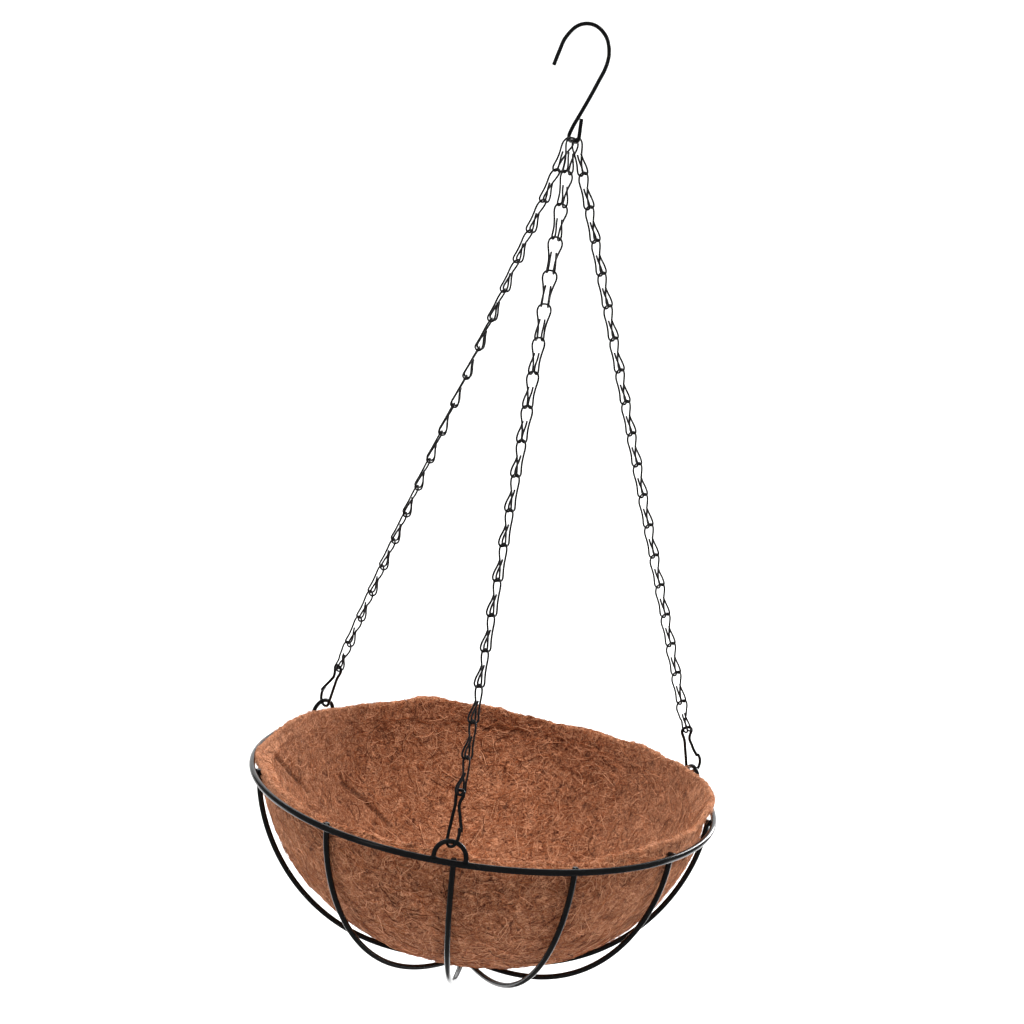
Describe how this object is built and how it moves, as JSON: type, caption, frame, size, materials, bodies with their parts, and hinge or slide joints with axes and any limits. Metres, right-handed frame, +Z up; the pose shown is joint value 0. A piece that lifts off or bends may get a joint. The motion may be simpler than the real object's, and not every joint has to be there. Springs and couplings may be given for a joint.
{
  "type": "hanging basket",
  "caption": "Half-round wire hanging basket with a coir liner, hung from an S-shaped hook by three link chains with spring clips.",
  "frame": {"origin": "the hook's saddle: the inside of the top of its upper arc, where it hangs on a bracket", "axes": "+Z up; -Y towards the front, the side with the front chain; +X to the right"},
  "size_m": [0.304, 0.305, 0.6076],
  "materials": {
    "wire_black": "glossy black powder-coated steel wire",
    "chain_black": "thin satin black coated steel wire",
    "coir": "matted brown coconut fibre, matt"
  },
  "bodies": {
    "hook": {"hook": "wire_black"},
    "basket": {"rim_ring": "wire_black", "rib_01": "wire_black", "rib_02": "wire_black", "rib_03": "wire_black", "rib_04": "wire_black", "rib_05": "wire_black", "rib_06": "wire_black", "rib_07": "wire_black", "rib_08": "wire_black", "rib_09": "wire_black", "rib_10": "wire_black", "rib_11": "wire_black", "rib_12": "wire_black", "bottom_ring": "wire_black", "hanger_loop_front": "wire_black", "hanger_loop_right": "wire_black", "hanger_loop_left": "wire_black"},
    "liner": {"liner": "coir"},
    "front_chain": {"chain_front_links_01_02": "chain_black", "chain_front_links_03_04": "chain_black", "chain_front_links_05_06": "chain_black", "chain_front_links_07_08": "chain_black", "chain_front_links_09_10": "chain_black", "chain_front_links_11_12": "chain_black", "chain_front_links_13_14": "chain_black", "chain_front_links_15_16": "chain_black", "chain_front_links_17_18": "chain_black", "chain_front_links_19": "chain_black", "clip_front": "wire_black"},
    "front_clip_arm": {"clip_arm_front": "wire_black"},
    "right_chain": {"chain_right_links_01_02": "chain_black", "chain_right_links_03_04": "chain_black", "chain_right_links_05_06": "chain_black", "chain_right_links_07_08": "chain_black", "chain_right_links_09_10": "chain_black", "chain_right_links_11_12": "chain_black", "chain_right_links_13_14": "chain_black", "chain_right_links_15_16": "chain_black", "chain_right_links_17_18": "chain_black", "chain_right_links_19": "chain_black", "clip_right": "wire_black"},
    "right_clip_arm": {"clip_arm_right": "wire_black"},
    "left_chain": {"chain_left_links_01_02": "chain_black", "chain_left_links_03_04": "chain_black", "chain_left_links_05_06": "chain_black", "chain_left_links_07_08": "chain_black", "chain_left_links_09_10": "chain_black", "chain_left_links_11_12": "chain_black", "chain_left_links_13_14": "chain_black", "chain_left_links_15_16": "chain_black", "chain_left_links_17_18": "chain_black", "chain_left_links_19": "chain_black", "clip_left": "wire_black"},
    "left_clip_arm": {"clip_arm_left": "wire_black"}
  },
  "joints": [
    {"name": "basket_swing", "type": "hinge", "parent": "hook", "child": "basket", "pos_m": [0.0009, 0, -0.06955], "axis": [0.4067, -0.9135, 0], "range_deg": [-25, 25]},
    {"name": "front_chain_swing", "type": "hinge", "parent": "hook", "child": "front_chain", "pos_m": [0.0009, 0, -0.06955], "axis": [0.4067, -0.9135, 0], "range_deg": [-25, 25]},
    {"name": "right_chain_swing", "type": "hinge", "parent": "hook", "child": "right_chain", "pos_m": [0.0009, 0, -0.06955], "axis": [0.4067, -0.9135, 0], "range_deg": [-25, 25]},
    {"name": "left_chain_swing", "type": "hinge", "parent": "hook", "child": "left_chain", "pos_m": [0.0009, 0, -0.06955], "axis": [0.4067, -0.9135, 0], "range_deg": [-25, 25]},
    {"name": "liner_lift", "type": "slide", "parent": "basket", "child": "liner", "axis": [0, 0, 1], "range_m": [0, 0.008]},
    {"name": "front_clip_arm_press", "type": "hinge", "parent": "front_chain", "child": "front_clip_arm", "pos_m": [-0.0124, -0.14223, -0.44795], "axis": [0.7631, 0.5962, -0.2496], "range_deg": [0, 14], "stiffness_Nm_per_rad": 0.05},
    {"name": "right_clip_arm_press", "type": "hinge", "parent": "right_chain", "child": "right_clip_arm", "pos_m": [0.1327, 0.05443, -0.44812], "axis": [-0.2584, 0.9642, 0.0591], "range_deg": [0, 14], "stiffness_Nm_per_rad": 0.05},
    {"name": "left_clip_arm_press", "type": "hinge", "parent": "left_chain", "child": "left_clip_arm", "pos_m": [-0.1115, 0.0907, -0.44867], "axis": [-0.7064, -0.7064, 0.0437], "range_deg": [0, 14], "stiffness_Nm_per_rad": 0.05}
  ],
  "couplings": [
    {"joint": "front_chain_swing", "follows": "basket_swing", "ratio": 1},
    {"joint": "right_chain_swing", "follows": "basket_swing", "ratio": 1},
    {"joint": "left_chain_swing", "follows": "basket_swing", "ratio": 1}
  ]
}
